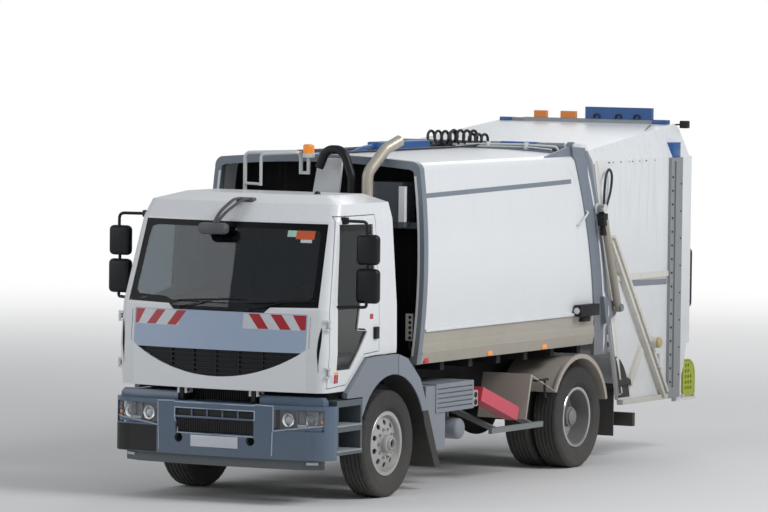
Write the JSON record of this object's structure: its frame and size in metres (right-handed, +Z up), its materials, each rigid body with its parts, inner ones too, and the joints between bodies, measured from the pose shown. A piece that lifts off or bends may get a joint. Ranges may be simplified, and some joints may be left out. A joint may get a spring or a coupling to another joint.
{
  "type": "rear-loading garbage truck",
  "caption": "Two-axle forward-control garbage truck with tilting cab, ejector body, lifting tailgate and packing plate.",
  "frame": {"origin": "on the ground, at the middle of the overall length and width", "axes": "+Z up, -Y forward, +X to the vehicle's left"},
  "size_m": [2.988, 8.2, 3.6499],
  "materials": {
    "white_paint": "satin",
    "front_panel_paint": "satin",
    "grey_paint": "satin",
    "bumper_paint": "satin",
    "dark_steel": "matt",
    "beige_steel": "satin",
    "red_paint": "satin",
    "blue_paint": "satin",
    "yellow_paint": "satin",
    "silver_paint": "satin",
    "bare_aluminium": "brushed",
    "polished_rod": "polished",
    "black_plastic": "matt",
    "amber_plastic": "gloss",
    "red_plastic": "gloss",
    "lamp_glass": "clear",
    "tinted_glass": "clear",
    "seat_fabric": "woven",
    "flap_rubber": "matt",
    "tyre_rubber": "matt"
  },
  "bodies": {
    "chassis": {"chassis_frame": "dark_steel", "front_axle": "dark_steel", "rear_axle": "dark_steel", "engine": "dark_steel", "front_bumper": "bumper_paint", "headlamps": "lamp_glass", "entry_steps": "black_plastic", "mudguards": "black_plastic", "mudflaps": "flap_rubber", "battery_box": "black_plastic", "fuel_tank": "bare_aluminium", "side_guards": "bare_aluminium", "tool_case": "red_paint", "exhaust_stack": "beige_steel", "air_intake": "black_plastic", "pipe_guard": "dark_steel", "beacon_lens": "amber_plastic", "hydraulic_tank": "grey_paint", "body_shell": "white_paint", "body_front_frame": "grey_paint", "body_rear_frame": "grey_paint", "body_rails": "bare_aluminium", "body_floor": "dark_steel"},
    "cab": {"cab_shell": "white_paint", "cab_roof": "white_paint", "cab_front": "front_panel_paint", "grille": "black_plastic", "windscreen": "tinted_glass", "cab_interior": "seat_fabric", "cab_arches": "black_plastic"},
    "door_left": {"door_left": "white_paint", "door_glass_left": "tinted_glass", "mirrors_left": "black_plastic"},
    "door_right": {"door_right": "white_paint", "door_glass_right": "tinted_glass", "mirrors_right": "black_plastic"},
    "steer_left": {"knuckle_left": "dark_steel"},
    "steer_right": {"knuckle_right": "dark_steel"},
    "wheel_front_left": {"tyre_front_left": "tyre_rubber", "rim_front_left": "silver_paint"},
    "wheel_front_right": {"tyre_front_right": "tyre_rubber", "rim_front_right": "silver_paint"},
    "wheel_rear_left": {"tyres_rear_left": "tyre_rubber", "rim_rear_left": "silver_paint"},
    "wheel_rear_right": {"tyres_rear_right": "tyre_rubber", "rim_rear_right": "silver_paint"},
    "ejector": {"ejector_plate": "dark_steel"},
    "tailgate": {"tailgate_shell": "white_paint", "tailgate_frame": "beige_steel", "rear_fittings": "dark_steel", "roof_box": "blue_paint", "tail_lamps": "red_plastic"},
    "lift_barrel": {"lift_barrels": "dark_steel"},
    "lift_rod": {"lift_rods": "polished_rod"},
    "carriage": {"packer_carriage": "dark_steel"},
    "blade": {"packer_blade": "dark_steel"},
    "packer_rod": {"packer_rods": "polished_rod"},
    "bin_lift": {"bin_lifter": "dark_steel"},
    "step_left": {"footboard_left": "yellow_paint"},
    "step_right": {"footboard_right": "yellow_paint"}
  },
  "joints": [
    {"name": "cab_tilt", "type": "hinge", "parent": "chassis", "child": "cab", "pos_m": [0, -4, 1.05], "axis": [1, 0, 0], "range_deg": [0, 55]},
    {"name": "door_left_swing", "type": "hinge", "parent": "cab", "child": "door_left", "pos_m": [1.16, -3.924, 1.6], "axis": [0, 0, -1], "range_deg": [0, 70]},
    {"name": "door_right_swing", "type": "hinge", "parent": "cab", "child": "door_right", "pos_m": [-1.16, -3.924, 1.6], "axis": [0, 0, 1], "range_deg": [0, 70]},
    {"name": "steer_left_turn", "type": "hinge", "parent": "chassis", "child": "steer_left", "pos_m": [0.85, -2.7, 0.52], "axis": [0, 0, 1], "range_deg": [-40, 40]},
    {"name": "steer_right_turn", "type": "hinge", "parent": "chassis", "child": "steer_right", "pos_m": [-0.85, -2.7, 0.52], "axis": [0, 0, 1], "range_deg": [-40, 40]},
    {"name": "wheel_front_left_spin", "type": "hinge", "parent": "steer_left", "child": "wheel_front_left", "pos_m": [1, -2.7, 0.52], "axis": [1, 0, 0], "continuous": true},
    {"name": "wheel_front_right_spin", "type": "hinge", "parent": "steer_right", "child": "wheel_front_right", "pos_m": [-1, -2.7, 0.52], "axis": [1, 0, 0], "continuous": true},
    {"name": "wheel_rear_left_spin", "type": "hinge", "parent": "chassis", "child": "wheel_rear_left", "pos_m": [0.885, 1.3, 0.52], "axis": [1, 0, 0], "continuous": true},
    {"name": "wheel_rear_right_spin", "type": "hinge", "parent": "chassis", "child": "wheel_rear_right", "pos_m": [-0.885, 1.3, 0.52], "axis": [1, 0, 0], "continuous": true},
    {"name": "ejector_push", "type": "slide", "parent": "chassis", "child": "ejector", "axis": [0, 1, 0], "range_m": [0, 2.95]},
    {"name": "tailgate_lift", "type": "hinge", "parent": "chassis", "child": "tailgate", "pos_m": [0, 1.385, 3.287], "axis": [1, 0, 0], "range_deg": [0, 80]},
    {"name": "lift_barrel_swing", "type": "hinge", "parent": "chassis", "child": "lift_barrel", "pos_m": [0, 1.99, 1.62], "axis": [1, 0, 0], "range_deg": [-22.6, 0]},
    {"name": "lift_rod_slide", "type": "slide", "parent": "lift_barrel", "child": "lift_rod", "axis": [0, -0.3511, 0.9363], "range_m": [0, 0.68]},
    {"name": "carriage_slide", "type": "slide", "parent": "tailgate", "child": "carriage", "axis": [0, 0.6018, -0.7986], "range_m": [0, 0.65]},
    {"name": "blade_swing", "type": "hinge", "parent": "carriage", "child": "blade", "pos_m": [0, 2.51882, 2.04911], "axis": [1, 0, 0], "range_deg": [0, 100]},
    {"name": "packer_rod_slide", "type": "slide", "parent": "carriage", "child": "packer_rod", "axis": [0, 0.6617, -0.7498], "range_m": [-0.45, 0]},
    {"name": "bin_lift_turn", "type": "hinge", "parent": "tailgate", "child": "bin_lift", "pos_m": [0, 3.9, 1.13], "axis": [1, 0, 0], "range_deg": [0, 110]},
    {"name": "step_left_fold", "type": "hinge", "parent": "tailgate", "child": "step_left", "pos_m": [1.165, 3.95, 0.588], "axis": [0, -1, 0], "range_deg": [0, 90]},
    {"name": "step_right_fold", "type": "hinge", "parent": "tailgate", "child": "step_right", "pos_m": [-1.165, 3.95, 0.588], "axis": [0, 1, 0], "range_deg": [0, 90]}
  ],
  "couplings": [
    {"joint": "steer_right_turn", "follows": "steer_left_turn", "ratio": 1},
    {"joint": "lift_barrel_swing", "follows": "tailgate_lift", "ratio": -0.2771},
    {"joint": "lift_rod_slide", "follows": "tailgate_lift", "m_per_rad": 0.47257},
    {"joint": "packer_rod_slide", "follows": "blade_swing", "m_per_rad": -0.24566}
  ]
}
